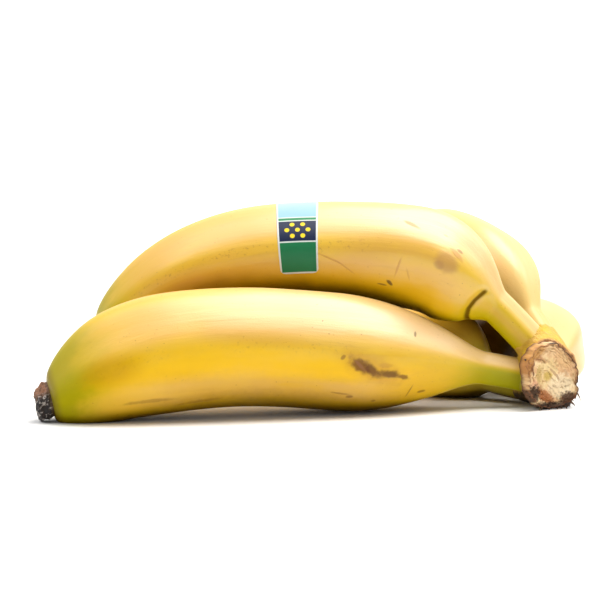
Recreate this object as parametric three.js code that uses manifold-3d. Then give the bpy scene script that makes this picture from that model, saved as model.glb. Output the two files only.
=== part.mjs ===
// A hand of five ripe bananas lying on a table, with its crown, its dried blossom ends
// and one small paper label.
//
// Frame: millimetres, +Z up, origin at the middle of the base of the whole hand.
// The hand is seen from -Y. The crown is at +X, near the table's front. The fruits fan
// out from it: two lie to the left, one above the other, and three reach to the back.
// The table is the plane z = 0, and the lowest fruits and the crown touch it with small
// flat spots.

import * as THREE from 'three'
import { mergeVertices } from 'three/addons/utils/BufferGeometryUtils.js'
import Module from 'manifold-3d'

const wasm = await Module()
wasm.setup()

// ---------------------------------------------------------------- driving dimensions

// The sizes below are laid out from a point beside the crown. This is the middle of the
// hand's footprint, which becomes the origin.
const HAND_MIDDLE = [8.2, 63.5]

const GAP = 0.3 // clearance between pieces that grow out of each other
const TABLE_SIZE = 800
const TABLE_DEPTH = 100

// Each fruit follows a smooth centre-line, from its root in the crown to its tip.
// radius: of the full body; neck: radius of the neck; neckLength: how far the neck
// runs before the shoulder; shoulderLength: how long the shoulder takes to reach the
// full body; neckSkew and shoulderSkew: how much shorter the neck, and how much longer
// the shoulder, are on the outside of the bend; tipLength: how long the body takes to
// close to tipRadius, where the blossom end sits; tipSlant: how much the end face leans
// against the centre-line; turn: degrees that the five ridges are turned about it.
const FRUITS = {
  banana_front: {
    spine: [
      [84, 9.5, 8.5], [48, 2.5, 16.2], [14, -4.5, 19.1],
      [-15, -11.5, 23.1], [-56, -21.5, 20.9], [-79.4, -27.5, 7.2],
    ],
    radius: 18.9,
    neck: 5.3,
    neckLength: 24,
    neckSkew: 0,
    shoulderLength: 55,
    shoulderSkew: 0,
    tipLength: 43,
    tipRadius: 6,
    tipSlant: 0.32,
    turn: 18,
  },
  banana_top: {
    spine: [
      [83, 7, 15], [53.6, 10.5, 47], [33, 13.5, 50.8],
      [-11.5, 15.5, 51.3], [-41.4, 15.5, 42.5], [-66, 28.5, 22.5],
    ],
    radius: 17,
    neck: 5.6,
    neckLength: 25,
    neckSkew: -1,
    shoulderLength: 26,
    shoulderSkew: 6,
    tipLength: 65,
    tipRadius: 5.6,
    tipSlant: 0,
    turn: 0,
  },
  banana_back_top: {
    spine: [
      [85, 8, 15], [74, 31, 35.5], [59, 53, 47.2],
      [50, 83, 47], [39, 114, 40.5], [23, 140, 27],
    ],
    radius: 16,
    neck: 5.6,
    neckLength: 22,
    neckSkew: 2,
    shoulderLength: 32,
    shoulderSkew: 2,
    tipLength: 55,
    tipRadius: 6,
    tipSlant: 0,
    turn: 6,
  },
  banana_far: {
    spine: [
      [86, 8, 12], [87.5, 43.5, 14.2], [84.5, 74, 17],
      [77, 104, 15.5], [66, 133, 15.2], [52, 160, 10],
    ],
    radius: 15,
    neck: 6,
    neckLength: 14,
    neckSkew: 0,
    shoulderLength: 34,
    shoulderSkew: 0,
    tipLength: 55,
    tipRadius: 6,
    tipSlant: 0,
    turn: 21,
  },
  banana_back_low: {
    spine: [
      [84, 11, 5], [57, 30, 8.5], [43, 50, 18.8],
      [12, 74, 15], [-10, 94, 16], [-38, 112, 10],
    ],
    radius: 15.6,
    neck: 5.4,
    neckLength: 23,
    neckSkew: 0,
    shoulderLength: 23,
    shoulderSkew: 0,
    tipLength: 55,
    tipRadius: 6,
    tipSlant: 0,
    turn: 0,
  },
}
const SLANT_LENGTH = 30 // how far from the tip the rings start to lean
const SHOULDER_START = 0.15 // a larger share makes the shoulder leave the neck more softly
const SHOULDER_POWER = 2.2 // a higher power makes the shoulder reach the full body sooner
const TIP_POWER = 0.625 // 0.5 makes an elliptic tip, and more makes a pointed one
const FRUIT_RINGS = 34
const FRUIT_SIDES = 20
const RING_SHIFT = 0.035 // moves rings to the ends, as a share of the fruit's length

// The body's section is a rounded pentagon. A higher power makes sharper ridges. The
// section changes from its end shape to its middle shape over these lengths.
const POWER_AT_ENDS = 5
const POWER_AT_MIDDLE = 4.5
const HOLLOW_AT_ENDS = 0.04
const SECTION_TRIM = 0.985
const ROOT_SECTION_LENGTH = 25
const CHANGE_AT_ROOT = 50
const CHANGE_AT_TIP = 55

// The crown: the outline of its cut face, across the face and up from the table, and
// the sections behind it, each with its depth and its size against the cut face.
const CROWN_FACE_AT = new THREE.Vector3(82.8, -1.5, 11.5)
const CROWN_FACE_TURN = 30 // degrees that the cut faces to the right
const CROWN_AXIS = new THREE.Vector3(0, 1, 0) // from the cut towards the fruits
const CROWN_OUTLINE = [
  [-10.6, 16.5], [-9.7, 8.3], [-7.6, 3.4], [-2, 0], [4, 0], [9, 1.2],
  [10.9, 8], [10.6, 14], [6.8, 18.8], [1.2, 22.8], [-4.6, 22.4], [-8.8, 19.4],
]
const CROWN_SECTIONS = [[0, 0.95], [1, 1], [6, 1.02], [11, 1], [16, 0.85], [19, 0.55]]
const CROWN_SIDES = 36

// The dried blossom end: radius against the fruit's tip radius at each height.
const BLOSSOM_PROFILE = [[0, 0.88], [1.2, 0.95], [2.6, 0.78], [4, 0.82], [5, 0.57]]
const BLOSSOM_LOBE = 0.09
const BLOSSOM_SIDES = 20

// The label lies on the upper fruit, between two stations along it and two angles
// around it, both measured from its middle.
const LABEL_FRUIT = 'banana_top'
const LABEL_STATION = 96
const LABEL_WIDTH = 13
const LABEL_ANGLE = 52
const LABEL_ARC = 102 // degrees
const LABEL_CLEARANCE = 0.5
const LABEL_THICKNESS = 0.6
const LABEL_CELLS_ALONG = 5
const LABEL_CELLS_AROUND = 6

const COLOURS = {
  peel: { color: 0xf0c63c, roughness: 0.45, metalness: 0 },
  crown: { color: 0xcaa070, roughness: 0.8, metalness: 0 },
  blossom: { color: 0x4a3022, roughness: 0.9, metalness: 0 },
  label: { color: 0x2f5f9a, roughness: 0.5, metalness: 0 },
}

// ------------------------------------------------------------------------- mesh tools

const clamp01 = (x) => Math.min(Math.max(x, 0), 1)
const ease = (x) => clamp01(x) ** 2 * (3 - 2 * clamp01(x))
const mix = (a, b, t) => a + (b - a) * t

// A closed skin over rings of equally many points, with a fan over each end.
function loft(rings) {
  const sides = rings[0].length
  const points = rings.flat()
  const start = points.length
  points.push(middle(rings[0]), middle(rings.at(-1)))
  const faces = []
  for (let i = 0; i + 1 < rings.length; i++) {
    for (let j = 0; j < sides; j++) {
      const a = i * sides + j
      const b = i * sides + ((j + 1) % sides)
      faces.push(a, b, b + sides, a, b + sides, a + sides)
    }
  }
  const last = (rings.length - 1) * sides
  for (let j = 0; j < sides; j++) {
    const next = (j + 1) % sides
    faces.push(start, next, j)
    faces.push(start + 1, last + j, last + next)
  }
  const outward = signedVolume(points, faces) > 0
  return meshGeometry(points, outward ? faces : faces.reverse())
}

function signedVolume(points, faces) {
  let volume = 0
  for (let i = 0; i < faces.length; i += 3) {
    const [a, b, c] = faces.slice(i, i + 3).map((index) => points[index])
    volume += a.dot(b.clone().cross(c)) / 6
  }
  return volume
}

function middle(ring) {
  const sum = ring.reduce((total, point) => total.add(point), new THREE.Vector3())
  return sum.divideScalar(ring.length)
}

function meshGeometry(points, faces) {
  const geometry = new THREE.BufferGeometry()
  const flat = points.flatMap((point) => [point.x, point.y, point.z])
  geometry.setAttribute('position', new THREE.Float32BufferAttribute(flat, 3))
  geometry.setIndex(faces)
  return geometry
}

function toSolid(geometry) {
  const bare = geometry.clone()
  bare.deleteAttribute('normal')
  bare.deleteAttribute('uv')
  const merged = mergeVertices(bare)
  const vertProperties = new Float32Array(merged.attributes.position.array)
  const triVerts = new Uint32Array(merged.index.array)
  return new wasm.Manifold(new wasm.Mesh({ numProp: 3, vertProperties, triVerts }))
}

function toGeometry(solid) {
  const mesh = solid.getMesh()
  const geometry = new THREE.BufferGeometry()
  geometry.setAttribute('position', new THREE.BufferAttribute(mesh.vertProperties, 3))
  geometry.setIndex(new THREE.BufferAttribute(mesh.triVerts, 1))
  return geometry
}

function largest(solid) {
  const bySize = solid.decompose().sort((a, b) => b.volume() - a.volume())
  return bySize[0]
}

// ----------------------------------------------------------------------------- fruits

// A uniform cubic B-spline that starts and ends at its first and last points.
class Spine extends THREE.Curve {
  constructor(points) {
    super()
    const inner = points.map((point) => new THREE.Vector3(...point))
    const first = inner[0].clone().multiplyScalar(2).sub(inner[1])
    const last = inner.at(-1).clone().multiplyScalar(2).sub(inner.at(-2))
    this.points = [first, ...inner, last]
    this.arcLengthDivisions = 400
  }

  getPoint(t, target = new THREE.Vector3()) {
    const spans = this.points.length - 3
    const i = Math.min(Math.floor(t * spans), spans - 1)
    const u = t * spans - i
    const weights = [
      (1 - u) ** 3 / 6,
      (3 * u ** 3 - 6 * u ** 2 + 4) / 6,
      (-3 * u ** 3 + 3 * u ** 2 + 3 * u + 1) / 6,
      u ** 3 / 6,
    ]
    target.set(0, 0, 0)
    weights.forEach((weight, k) => target.addScaledVector(this.points[i + k], weight))
    return target
  }
}

// The place, the back direction and the side direction at a station along a fruit.
// The back direction points to the outside of the fruit's bend.
function frameAt(spine, along) {
  const at = spine.getPointAt(along)
  const tangent = spine.getTangentAt(along)
  const root = spine.getPointAt(0)
  const half = spine.getPointAt(0.5)
  const tip = spine.getPointAt(1)
  const side = half.clone().sub(root).cross(tip.clone().sub(half)).normalize()
  side.addScaledVector(tangent, -side.dot(tangent)).normalize()
  const back = tangent.clone().cross(side)
  return { at, tangent, back, side }
}

function bodyRadius(fruit, station, length, angle) {
  const start = fruit.neckLength - fruit.neckSkew * Math.cos(angle)
  const span = fruit.shoulderLength + fruit.shoulderSkew * Math.cos(angle)
  const rise = clamp01((station - start) / span)
  const soft = ((1 + SHOULDER_START) * rise * rise) / (rise + SHOULDER_START)
  const shoulder = 1 - (1 - soft) ** SHOULDER_POWER
  const toTip = clamp01((length - station) / fruit.tipLength)
  const tip = (1 - (1 - toTip) ** 2) ** TIP_POWER
  const full = mix(fruit.neck, fruit.radius, shoulder)
  return full * mix(fruit.tipRadius / fruit.radius, 1, tip)
}

// The five faces of the section, rounded into each other and hollow near the ends.
function sectionShape(station, length, angle) {
  const fromRoot = ease((station - ROOT_SECTION_LENGTH) / CHANGE_AT_ROOT)
  const middle = fromRoot * ease((length - station) / CHANGE_AT_TIP)
  const power = mix(POWER_AT_ENDS, POWER_AT_MIDDLE, middle)
  let sum = 0
  for (let k = 0; k < 5; k++) {
    const facing = Math.cos(angle - (Math.PI / 5) * (1 + 2 * k))
    sum += Math.max(facing, 0) ** power
  }
  const onFace = 0.5 + 0.5 * Math.cos(5 * (angle - Math.PI / 5))
  const hollow = 1 - HOLLOW_AT_ENDS * (1 - middle) * onFace
  return sum ** (-1 / power) * hollow * SECTION_TRIM
}

function fruitPoint(fruit, spine, along, angle, grow = 0) {
  const { at, tangent, back, side } = frameAt(spine, along)
  const length = spine.getLength()
  const station = along * length
  const shape = sectionShape(station, length, angle)
  const reach = bodyRadius(fruit, station, length, angle) * shape + grow
  const turned = angle + THREE.MathUtils.degToRad(fruit.turn)
  const slant = fruit.tipSlant * ease(1 - (length - station) / SLANT_LENGTH)
  return at
    .addScaledVector(back, reach * Math.cos(turned))
    .addScaledVector(side, reach * Math.sin(turned))
    .addScaledVector(tangent, -slant * reach * Math.cos(turned))
}

function fruitGeometry(fruit, grow = 0) {
  const spine = new Spine(fruit.spine)
  const rings = []
  for (let i = 0; i < FRUIT_RINGS; i++) {
    const even = i / (FRUIT_RINGS - 1)
    const along = even - RING_SHIFT * Math.sin(2 * Math.PI * even)
    const ring = []
    for (let j = 0; j < FRUIT_SIDES; j++) {
      ring.push(fruitPoint(fruit, spine, along, (2 * Math.PI * j) / FRUIT_SIDES, grow))
    }
    rings.push(ring)
  }
  return loft(rings)
}

// ------------------------------------------------------------------------------ crown

function crownGeometry(grow = 0) {
  const turn = THREE.MathUtils.degToRad(CROWN_FACE_TURN)
  const across = new THREE.Vector3(Math.cos(turn), Math.sin(turn), 0)
  const up = new THREE.Vector3(0, 0, 1)
  const corners = CROWN_OUTLINE.map(([x, z]) => new THREE.Vector3(x, z - CROWN_FACE_AT.z, 0))
  const outline = new THREE.CatmullRomCurve3(corners, true).getSpacedPoints(CROWN_SIDES)
  outline.pop()
  const lastSection = CROWN_SECTIONS.length - 1
  const rings = CROWN_SECTIONS.map(([depth, size], index) => {
    const extra = index === 0 ? -grow : index === lastSection ? grow : 0
    const centre = CROWN_FACE_AT.clone().addScaledVector(CROWN_AXIS, depth + extra)
    return outline.map((corner) => {
      const reach = corner.clone().setLength(corner.length() * size + grow)
      return centre.clone().addScaledVector(across, reach.x).addScaledVector(up, reach.y)
    })
  })
  return loft(rings)
}

// ----------------------------------------------------------------------- blossom ends

function blossomGeometry(fruit) {
  const spine = new Spine(fruit.spine)
  const { at, tangent, back, side } = frameAt(spine, 1)
  const rings = BLOSSOM_PROFILE.map(([height, size]) => {
    const ring = []
    for (let j = 0; j < BLOSSOM_SIDES; j++) {
      const angle = (2 * Math.PI * j) / BLOSSOM_SIDES
      const reach = fruit.tipRadius * size * (1 + BLOSSOM_LOBE * Math.cos(5 * angle))
      ring.push(
        at
          .clone()
          .addScaledVector(tangent, GAP + height - fruit.tipSlant * reach * Math.cos(angle))
          .addScaledVector(back, reach * Math.cos(angle))
          .addScaledVector(side, reach * Math.sin(angle)),
      )
    }
    return ring
  })
  return loft(rings)
}

// ------------------------------------------------------------------------------ label

// The label is a loft round the fruit. Each of its rings is a thin cut along the fruit: out
// along the top, and back along the base.
function labelGeometry() {
  const fruit = FRUITS[LABEL_FRUIT]
  const spine = new Spine(fruit.spine)
  const length = spine.getLength()
  const rings = []
  for (let j = 0; j <= LABEL_CELLS_AROUND; j++) {
    const degrees = LABEL_ANGLE + LABEL_ARC * (j / LABEL_CELLS_AROUND - 0.5)
    const angle = THREE.MathUtils.degToRad(degrees)
    const top = []
    const base = []
    for (let i = 0; i <= LABEL_CELLS_ALONG; i++) {
      const station = LABEL_STATION + LABEL_WIDTH * (i / LABEL_CELLS_ALONG - 0.5)
      const along = station / length
      top.push(fruitPoint(fruit, spine, along, angle, LABEL_CLEARANCE + LABEL_THICKNESS))
      base.push(fruitPoint(fruit, spine, along, angle, LABEL_CLEARANCE))
    }
    rings.push([...top, ...base.reverse()])
  }
  return loft(rings)
}

// --------------------------------------------------------------------------- the hand

function named(name, geometry, look) {
  geometry.computeVertexNormals()
  const mesh = new THREE.Mesh(geometry, new THREE.MeshStandardMaterial(COLOURS[look]))
  mesh.name = name
  return mesh
}

const tableBox = new THREE.BoxGeometry(TABLE_SIZE, TABLE_SIZE, TABLE_DEPTH)
const table = toSolid(tableBox.translate(0, 0, -TABLE_DEPTH / 2))
const crownRoom = toSolid(crownGeometry(GAP))
const hand = new THREE.Group()
hand.add(named('crown', toGeometry(toSolid(crownGeometry()).subtract(table)), 'crown'))

const taken = [table, crownRoom]
for (const [name, fruit] of Object.entries(FRUITS)) {
  let body = toSolid(fruitGeometry(fruit))
  for (const room of taken) body = body.subtract(room)
  body = largest(body)
  taken.push(toSolid(fruitGeometry(fruit, GAP)))
  hand.add(named(name, toGeometry(body), 'peel'))
  hand.add(named(name.replace('banana', 'blossom_end'), blossomGeometry(fruit), 'blossom'))
}
hand.add(named('label', labelGeometry(), 'label'))

hand.position.set(-HAND_MIDDLE[0], -HAND_MIDDLE[1], 0)

export default hand
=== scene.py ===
"""A hand of five ripe bananas on a pale floor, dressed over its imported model.

Sizes are in millimetres, in the frame in which the hand was drawn, whose origin is on the
floor under the front fruit. room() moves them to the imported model's frame, in metres.
"""

import itertools
import math
import random

import bpy
import numpy as np
from mathutils import Matrix, Vector, noise
from mathutils.bvhtree import BVHTree


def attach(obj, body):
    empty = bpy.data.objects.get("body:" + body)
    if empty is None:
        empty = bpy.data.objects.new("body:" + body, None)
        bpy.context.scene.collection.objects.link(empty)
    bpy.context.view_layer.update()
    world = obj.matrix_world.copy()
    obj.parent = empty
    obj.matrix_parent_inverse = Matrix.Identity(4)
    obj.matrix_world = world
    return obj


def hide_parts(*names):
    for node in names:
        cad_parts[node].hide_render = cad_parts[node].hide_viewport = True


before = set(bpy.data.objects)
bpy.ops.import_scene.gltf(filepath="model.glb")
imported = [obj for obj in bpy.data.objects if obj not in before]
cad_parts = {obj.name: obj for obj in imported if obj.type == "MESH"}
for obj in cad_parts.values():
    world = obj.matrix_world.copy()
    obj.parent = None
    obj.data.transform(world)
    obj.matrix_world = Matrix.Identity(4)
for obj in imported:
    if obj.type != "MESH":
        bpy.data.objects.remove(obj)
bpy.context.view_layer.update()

MM = 0.001
HAND_MIDDLE = np.array([8.2, 63.5, 0.0])

# ---- sizes of the hand
# A centre-line's points run from the root, in the crown, to the tip. turn is in degrees.

USUAL_SIZES = dict(neck_skew=0, shoulder_skew=0, tip_length=55, tip_radius=6, tip_slant=0, turn=0)
FRUITS = {
    "banana_front": dict(
        spine=[
            (84, 9.5, 8.5), (48, 2.5, 16.2), (14, -4.5, 19.1),
            (-15, -11.5, 23.1), (-56, -21.5, 20.9), (-79.4, -27.5, 7.2),
        ],
        radius=18.9, neck=5.3, neck_length=24, shoulder_length=55,
        tip_length=43, tip_slant=0.32, turn=18,
    ),
    "banana_top": dict(
        spine=[
            (83, 7, 15), (53.6, 10.5, 47), (33, 13.5, 50.8),
            (-11.5, 15.5, 51.3), (-41.4, 15.5, 42.5), (-66, 28.5, 22.5),
        ],
        radius=17, neck=5.6, neck_length=25, shoulder_length=26,
        neck_skew=-1, shoulder_skew=6, tip_length=65, tip_radius=5.6,
    ),
    "banana_back_top": dict(
        spine=[
            (85, 8, 15), (74, 31, 35.5), (59, 53, 47.2),
            (50, 83, 47), (39, 114, 40.5), (23, 140, 27),
        ],
        radius=16, neck=5.6, neck_length=22, shoulder_length=32,
        neck_skew=2, shoulder_skew=2, turn=6,
    ),
    "banana_far": dict(
        spine=[
            (86, 8, 12), (87.5, 43.5, 14.2), (84.5, 74, 17),
            (77, 104, 15.5), (66, 133, 15.2), (52, 160, 10),
        ],
        radius=15, neck=6, neck_length=14, shoulder_length=34, turn=21,
    ),
    "banana_back_low": dict(
        spine=[
            (84, 11, 5), (57, 30, 8.5), (43, 50, 18.8),
            (12, 74, 15), (-10, 94, 16), (-38, 112, 10),
        ],
        radius=15.6, neck=5.4, neck_length=23, shoulder_length=23,
    ),
}
SLANT_LENGTH = 30
SHOULDER_START = 0.15
SHOULDER_POWER = 2.2
TIP_POWER = 1.25
POWER_AT_ENDS = 5.0  # how sharp the five ridges are: a higher power is sharper
POWER_AT_MIDDLE = 4.5
MIDDLE_FROM = 25
MIDDLE_RISE = 50
MIDDLE_FALL = 55
HOLLOW_AT_ENDS = 0.04
SECTION_TRIM = 0.985
LUMP_HEIGHT = 0.22
LUMP_SIZE = 22
FRUIT_RINGS = 300
FRUIT_SIDES = 150
RING_BUNCHING = 0.035  # how much closer the rings lie at both ends
FLOOR_SOFTNESS = 0.35  # how high over the floor the edge of a flat spot is rounded
SHELTER_RAYS = 20
SHELTER_REACH = 26.0
FLOOR_REACH = 10.0
SHELTER_STEP = 6
SHELTER_START = 0.4
ANY_WAY = (0.31, 0.52, 0.8)

CROWN_FACE_AT = np.array([82.8, -1.5, 11.5])
CROWN_FACE_TURN = math.radians(30)
CROWN_AXIS = np.array([0.0, 1.0, 0.0])
ACROSS = np.array([math.cos(CROWN_FACE_TURN), math.sin(CROWN_FACE_TURN), 0.0])
UP = np.array([0.0, 0.0, 1.0])
FACE_OUT = np.cross(ACROSS, UP)  # from the cut towards the viewer
# The cut's outline, across from its middle and up from the floor.
CROWN_OUTLINE = [
    (-10.6, 16.5), (-9.7, 8.3), (-7.6, 3.4), (-2, 0), (4, 0), (9, 1.2),
    (10.9, 8), (10.6, 14), (6.8, 18.8), (1.2, 22.8), (-4.6, 22.4), (-8.8, 19.4),
]
# How far behind the cut each section is, and its size as a share of the outline.
CROWN_SECTIONS = [(0, 0.95), (1, 1), (6, 1.02), (11, 1), (16, 0.85), (19, 0.55)]
CROWN_PITCH = 0.5
CROWN_LOW = np.array([58.0, -9.0, -1.5])
CROWN_HIGH = np.array([98.0, 34.0, 33.0])
CROWN_BLEND = 2.2  # how widely the necks flow into the lump
CROWN_LUMP_BACK = 2.4  # the lump ends this far behind the cut's middle
CROWN_GRAIN = 0.12
CROWN_GRAIN_SIZE = 3.0
CUT_GRAIN = 0.5
CUT_GRAIN_SIZE = 2.2
CUT_GRAIN_DEPTH = 7
STUB_REACH = 20.0
STUB_STEPS = 45
STUB_SINK_FROM = 6
STUB_PROUD = 0.35  # how far a neck's root stands out of the peel's line
STUB_SUNK = -0.9  # and how far it has sunk at its end

CUT_RINGS = 120
CUT_SIDES = 300
CUT_SIZE = 0.97
STREAK_WAY = (0.64, -0.77)  # the way the torn flesh runs, across and up
STREAK_STRETCH = 0.4
STREAK_WARP = 1.5
STREAK_SIZE = 2.4
WARP_SIZE = 6
CRACK_WIDTH = 0.07
# How high each form of the cut stands out of it, in millimetres.
CUT_HEIGHT = 0.5
STREAK_HEIGHT = 0.7
CRACK_DEPTH = 0.5
CRUMB_HEIGHT = 0.22
LAYER_HEIGHT = 0.16
MIDDLE_DEPTH = 0.5
LIP_HEIGHT = 0.25
LIP_HEIGHT_UPPER_RIGHT = 0.9
BOTTOM_DEPTH = 2.0
EDGE_DEPTH = 3.2
LIP_AT = 0.955
LIP_WIDTH = 0.018
UPPER_RIGHT = math.radians(28)

# Each fray has its bearing from the cut's middle, its length and how far it bends, in degrees.
FRAYS = [
    (-30, 4.6, -75), (-36, 2.2, -40), (-42, 2.0, 30), (-47, 2.4, -30), (-53, 1.8, 25),
    (-58, 2.2, -45), (-65, 1.6, 40), (-74, 1.5, 20), (-24, 1.4, 35), (-90, 1.2, -30),
    (-105, 1.4, 30), (150, 1.0, 30), (-140, 1.3, 40), (-152, 1.2, -30),
]
FRAY_STEPS = 9
FRAY_SIDES = 6
FRAY_ROOT = 0.93
FRAY_SUNK = 0.6
FRAY_TURN = 12
FRAY_WANDER = 4
FRAY_THICKNESS = (0.28, 0.42)
FRAY_FORWARD = (-0.3, 0.5)
FRAY_TAPER = 0.8
JUST_OVER_FLOOR = 0.05

# ---- small helpers


def room(points):
    """Points of the drawn frame, in millimetres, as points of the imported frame, in metres."""
    return (np.asarray(points, float) - HAND_MIDDLE) * MM


def unit(vectors):
    vectors = np.asarray(vectors, float)
    return vectors / np.linalg.norm(vectors, axis=-1, keepdims=True)


def ease(x):
    x = np.clip(x, 0, 1)
    return x * x * (3 - 2 * x)


def mix(a, b, t):
    return a + (b - a) * t


def grain(points, size, octaves=3, seed=0.0):
    """Smooth noise of about -1 to 1 at points in millimetres, whose lumps are size across."""
    flat = np.asarray(points, float).reshape(-1, 3) / size + seed
    values = [noise.fractal(Vector(p), 1.0, 2.0, octaves, noise_basis="PERLIN_ORIGINAL") for p in flat]
    return np.array(values).reshape(np.asarray(points).shape[:-1])


def mesh_object(name, points, faces, attributes=(), smooth=True):
    """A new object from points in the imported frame, with float or vector values per vertex."""
    mesh = bpy.data.meshes.new(name)
    corners = [tuple(p) for p in np.asarray(points).reshape(-1, 3)]
    mesh.from_pydata(corners, [], [tuple(f) for f in faces])
    mesh.validate()
    mesh.update()
    for key, values in dict(attributes).items():
        store(mesh, key, values)
    if smooth:
        mesh.polygons.foreach_set("use_smooth", [True] * len(mesh.polygons))
    thing = bpy.data.objects.new(name, mesh)
    bpy.context.scene.collection.objects.link(thing)
    return thing


def store(mesh, key, values):
    """Keeps a value or a vector for each vertex, for the materials to read."""
    values = np.asarray(values, np.float32)
    kind, field = ("FLOAT_VECTOR", "vector") if values.ndim == 2 else ("FLOAT", "value")
    attribute = mesh.attributes.new(key, kind, "POINT")
    attribute.data.foreach_set(field, values.ravel())


def tube_faces(rings, sides, first=0):
    """Faces of a skin over rings of points, whose two ends are closed by fans."""
    faces = []
    for i in range(rings - 1):
        for j in range(sides):
            a = first + i * sides + j
            b = first + i * sides + (j + 1) % sides
            faces.append((a, a + sides, b + sides, b))
    start = first + rings * sides
    last = first + (rings - 1) * sides
    for j in range(sides):
        k = (j + 1) % sides
        faces.append((start, first + j, first + k))
        faces.append((start + 1, last + k, last + j))
    return faces


def closed(grid):
    """A grid of rings as a list of points, with the middles of its two ends."""
    rows = grid.reshape(-1, *grid.shape[2:])
    return np.concatenate([rows, [grid[0].mean(0), grid[-1].mean(0)]])


def tube_object(name, points, values):
    """An object whose skin runs over rings of points, with values for each of them."""
    values = {key: closed(value) for key, value in values.items()}
    return mesh_object(name, room(closed(points)), tube_faces(*points.shape[:2]), values)


# ---- fruits

# In these tables, angles are in degrees round a fruit, from its first ridge.
# How saturated the peel's yellow is, from pale tan to full: partly the peel's own tone, partly painted
# bounce light, fuller yellow on the lower faces, which the floor lights.
BANDS = {
    "banana_front": [
        (0, 0.2), (30, 0.3), (58, 0.2), (76, 0.75), (88, 1), (97, 0.75), (108, 0.35), (122, 0.45),
        (140, 1), (180, 0.9), (260, 0.5),
    ],
    "banana_top": [
        (0, 0.35), (40, 0.25), (85, 0.1), (104, 0.45), (122, 1), (150, 1), (200, 0.7), (280, 0.5),
    ],
    "others": [(0, 0.5)],
}
# A painted highlight: how much paler and creamier each fruit's peel is painted where it catches the most
# light, on the upper faces of the two front fruits and all over the two bright fruits at the back.
PAINTED_HIGHLIGHT_PALENESS = {
    "banana_front": [(0, 1), (40, 1), (72, 0.1), (140, 0), (260, 0), (320, 0.8)],
    "banana_top": [(0, 1), (35, 1), (70, 0.1), (140, 0), (260, 0), (320, 0.8)],
    "banana_back_top": [(0, 0.9)],
    "banana_far": [(0, 1)],
    "others": [(0, 0.2)],
}
# How green each neck is.
NECK_GREENS = {
    "banana_front": [(0, 0.15), (60, 0.15), (80, 1), (135, 1), (180, 0.6)],
    "banana_top": [(0, 0.3), (50, 0.2), (100, 0.2), (130, 0.6), (180, 0.4)],
    "banana_back_low": [(0, 0.7), (180, 0.9)],
    "others": [(0, 0.35)],
}
# A fold is a dent across the end of a neck, past which the peel swells. It has its angles, its
# station at each of them, its sizes, and how many degrees it takes to start and to end.
FOLDS = {
    "banana_top": [
        dict(
            angles=(58, 75, 100, 120, 137, 150), stations=(31.1, 31.9, 32.4, 32.1, 30.8, 29.6),
            depth=1.0, width=0.9, swell=0.7, rise=3.0, reach=7.0, fade_in=18, past_end=30, fade_out=35,
        ),
    ],
}


def fold_offset(fold, station, angle):
    """How far past the fold a place is, and how strong the fold is at its angle."""
    degrees = np.degrees(angle) % 360
    first, last = fold["angles"][0], fold["angles"][-1] + fold["past_end"]
    strength = ease((degrees - first) / fold["fade_in"]) * ease((last - degrees) / fold["fade_out"])
    return station - np.interp(degrees, fold["angles"], fold["stations"]), strength


def fold_line(fold, station, angle):
    """1 in the bottom of a fold, and 0 outside it."""
    offset, strength = fold_offset(fold, station, angle)
    return strength * np.exp(-((offset / fold["width"]) ** 2))


def fold_depth(fold, station, angle):
    offset, strength = fold_offset(fold, station, angle)
    dent = -fold["depth"] * np.exp(-((offset / fold["width"]) ** 2))
    fall = np.exp(-np.clip(offset, 0, None) / fold["reach"])
    return strength * (dent + fold["swell"] * ease(offset / fold["rise"]) * fall)


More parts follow.
